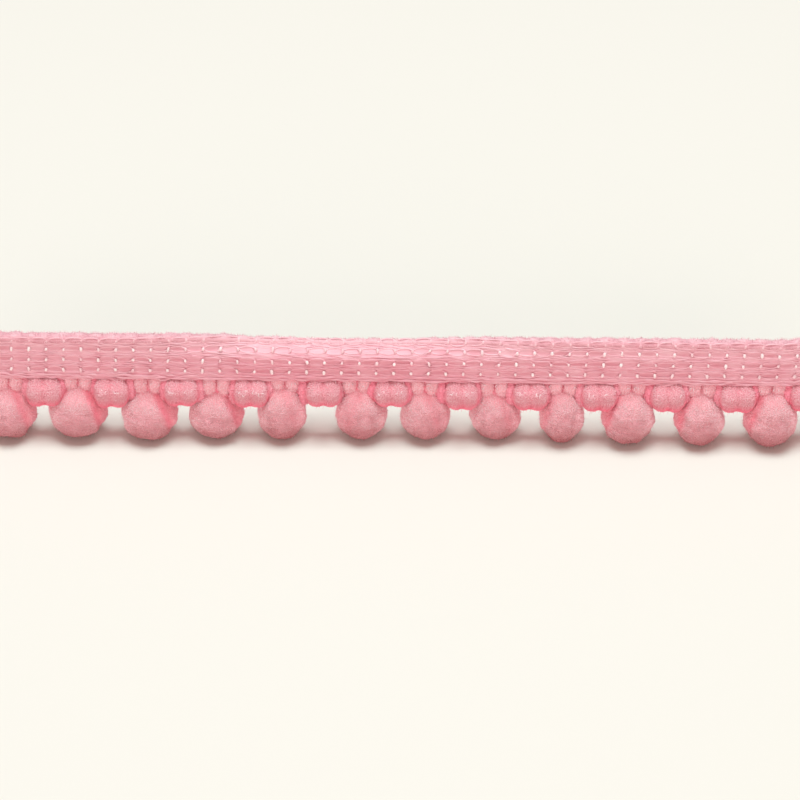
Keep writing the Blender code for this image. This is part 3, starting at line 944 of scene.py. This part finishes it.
def budBody(index):
    # two short bundles that fill the room between the large pompoms
    row = measures("buds", index)
    mesh = roundBody(f"bud{index + 1}", 4)
    where = points(mesh)
    across = where[:, 0].copy()
    groove = np.exp(-(across / 0.15) ** 2)
    where = np.sign(where) * np.abs(where) ** 0.86
    # waisted between the two bundles, full in the middle of each
    where[:, 1:] *= ((1 - 0.12 * groove) * (1 + 0.45 * across ** 2 * (1 - across ** 2)))[:, None]
    size = budReach(index) - pile["budInset"]
    where = lumped(where * size, index + 15, 0.06, 1.2)
    high = where[:, 2] / size[2]
    low = eased((0.1 - high) / 0.95)
    rim = eased((np.abs(across) - 0.72) / 0.25)
    where = placed(where, (index + 1) * repeat + row["sway"], -row["forward"], budCentre(index)[2])
    pressed = np.zeros(len(where))
    for ball in (index, index + 1):              # pressed against its neighbours
        centre, reach = ballCentre(ball), ballReach(ball) + 0.1
        pressed = np.maximum(pressed, nearBody(where, centre, reach, 0.5))
        away = where - centre
        share = np.linalg.norm(away / reach, axis=1)
        where = np.where(share[:, None] < 1, centre + away / share[:, None], where)
    where[:, 2] = np.minimum(where[:, 2], pile["top"] + 0.25)
    # painted shade: a fuller pink underneath, at the sides, in the groove and where pressed against
    # the balls; painted glow near the top
    keepPaintedShadeAndGlow(mesh, 0.95 * low + 0.6 * rim + 0.2 * groove + 0.8 * pressed,
              0.6 * eased((high - 0.45) / 0.4))
    # painted light: paler towards the top
    keepValue(mesh, "crestLight", 0.3 * (1 - low) + 0.7 * eased((high - 0.1) / 0.7))
    setPoints(mesh, where)
    return mesh


def packed(name, detail, seed, along, shape):
    # a boxy lump of bound fibres, painted a full pink in front where one looks into a gap, as
    # painted shade and glow
    size, back, height = shape
    mesh = roundBody(name, detail)
    where = points(mesh)
    where[:, ::2] = np.sign(where[:, ::2]) * np.abs(where[:, ::2]) ** 0.75
    fullness = random.Random(seed).uniform(0.3, 0.85)
    keepPaintedShadeAndGlow(mesh, fullness * eased((0.3 - where[:, 1]) / 0.6))
    # painted light at half strength
    keepValue(mesh, "crestLight", np.full(len(where), 0.5))
    setPoints(mesh, placed(lumped(where * np.array(size), seed, 0.08, 0.8), along, back, height))
    return mesh


def curls(seed, count, along, forward, material):
    # small bright loops of yarn where a bundle leaves the binding
    rng = random.Random(seed * 17 + 3)
    height, last = pile["top"] - pile["curlDrop"], 7
    strands = []
    for curl in range(count):
        centre = [rng.uniform(-0.5, 0.5), -rng.uniform(0.0, 0.12), rng.uniform(-0.35, 0.05)]
        radius, start = rng.uniform(0.08, 0.18), rng.uniform(0, math.pi)
        arc, path = rng.uniform(1.4, 3.0), []
        for step in range(last + 1):
            angle = start + arc * step / last
            path.append([radius * math.cos(angle), -0.12 * math.sin(math.pi * step / last),
                         radius * 1.3 * math.sin(angle)])
        strands.append(placed(np.array(centre) + np.array(path), along, -forward, height))
    mesh = yarnMesh(f"curls{seed}", strands, 0.04, sides=0)
    # painted light: the loops take the palest tone
    for value in ("tip", "shade", "crestLight"):
        keepValue(mesh, value, np.ones(len(mesh.vertices)))
    mesh.materials.append(material)
    return mesh


ballPile, budPile, rootPile, tuftPile = [pileMaterial(name) for name in pile["looks"]]
ballNodes, neckNodes = pileNodes("ball", ballPile), pileNodes("neck", tuftPile)
budNodes, rootNodes = pileNodes("bud", budPile), pileNodes("root", rootPile)


def pompom(index):
    parts = [grown(ballBody(index), ballNodes)]
    for side in (-1, 1):
        parts.append(grown(neckBody(index, side), neckNodes))
        parts.append(curls(index * 2 + side + 300, pile["neckCurls"],
                           neckAlong(index) + side * pile["curlSpread"], 0.0, tuftPile))
    finished(joined(f"pompom{index + 1}", parts), [f"pompom_{index + 1:02d}"])


def bud(index):
    row = measures("buds", index)
    parts = [grown(budBody(index), budNodes)]
    for side in (-1, 1):
        if pile["budCurls"][index]:
            middle = (index + 1) * repeat + row["sway"] + side * row["width"] * 0.25
            parts.append(curls(index * 2 + side + 400, pile["budCurls"][index], middle,
                               row["forward"] + row["depth"] / 2 - 0.17, budPile))
    finished(joined(f"bud{index + 1}", parts), [f"bud_{index + 1:02d}"])


for index in range(trim["repeats"]):
    pompom(index)
print("large pompoms cut")
for index in range(trim["repeats"] - 1):
    bud(index)
print("buds cut")


def pileRoots():
    # the bound ends of the bundles side by side, and loose fibres between tuft and bud
    parts = [packed(f"root{course}", 2, course + 500, (course + 0.5) * trim["course"], pile["root"])
             for course in range(1, courses - 1)]
    parts += [packed(f"fill{gap}", 3, gap + 700, gap * trim["course"], pile["fill"])
              for gap in range(3, courses - 2, 2)]
    finished(joined("pileRoots", [grown(part, rootNodes) for part in parts]))


pileRoots()
print("pile roots bound")


# floor, lights and camera

stage = {
    "floor": "#e9e8e0",
    # place and size in metres, power, colour: daylight above, a warmer room around
    "lights": {
        "overheadLight": ((0.0, 0.0, 0.62), (0.32, 0.3), 3.15, "#edffff"),
        "leftLight": ((-0.62, -0.97, 0.31), (0.68, 0.5), 3.13, "#ffe2df"),
        "rightLight": ((0.62, -0.97, 0.31), (0.68, 0.5), 2.81, "#ffe2df"),
    },
    "room": 0.456,
    "roomColour": "#ffe2df",
    "target": (1.02, -1.088, 4.52),      # mm, where the picture's middle looks
    "azimuth": 1.04,
    "elevation": 37.0,
    "distance": 400.0,                   # mm
    "lens": 180.0,
    "sensor": 36.0,
}


def floor():
    # Matt cream card: soft light with no reflection
    material, shader = newMaterial("mattCreamCard")
    shader.inputs["Base Color"].default_value = linear(stage["floor"])
    shader.inputs["Roughness"].default_value = 0.95
    shader.inputs["Specular IOR Level"].default_value = 0.2
    bm = bmesh.new()
    bmesh.ops.create_grid(bm, x_segments=1, y_segments=1, size=1.5)
    obj = linked("floor", meshFrom(bm, "floor"))
    obj.data.materials.append(material)


def studio():
    for name, (place, size, power, colour) in stage["lights"].items():
        light = bpy.data.lights.new(name, "AREA")
        light.shape = "RECTANGLE"
        light.size, light.size_y = size
        light.energy = power
        light.color = linear(colour)[:3]
        obj = linked(name, light)
        obj.location = place
        inward = Vector((0, 0, 0)) - Vector(place)
        obj.rotation_euler = inward.to_track_quat("-Z", "Y").to_euler()
    world = bpy.data.worlds.new("softRoom")
    world.use_nodes = True
    background = world.node_tree.nodes["Background"]
    background.inputs["Color"].default_value = linear(stage["roomColour"])
    background.inputs["Strength"].default_value = stage["room"]
    bpy.context.scene.world = world
    bpy.context.scene.view_settings.view_transform = "Standard"


def camera():
    turn, rise = math.radians(stage["azimuth"]), math.radians(stage["elevation"])
    away = Vector((math.sin(turn) * math.cos(rise), -math.cos(turn) * math.cos(rise),
                   math.sin(rise)))
    data = bpy.data.cameras.new("camera")
    data.lens = stage["lens"]
    data.sensor_width = stage["sensor"]
    data.clip_start = 0.01
    obj = linked("camera", data)
    obj.location = (Vector(stage["target"]) + away * stage["distance"]) * 0.001
    obj.rotation_euler = (-away).to_track_quat("-Z", "Y").to_euler()
    bpy.context.scene.camera = obj


floor()
studio()
camera()
print("floor, lights and camera set")
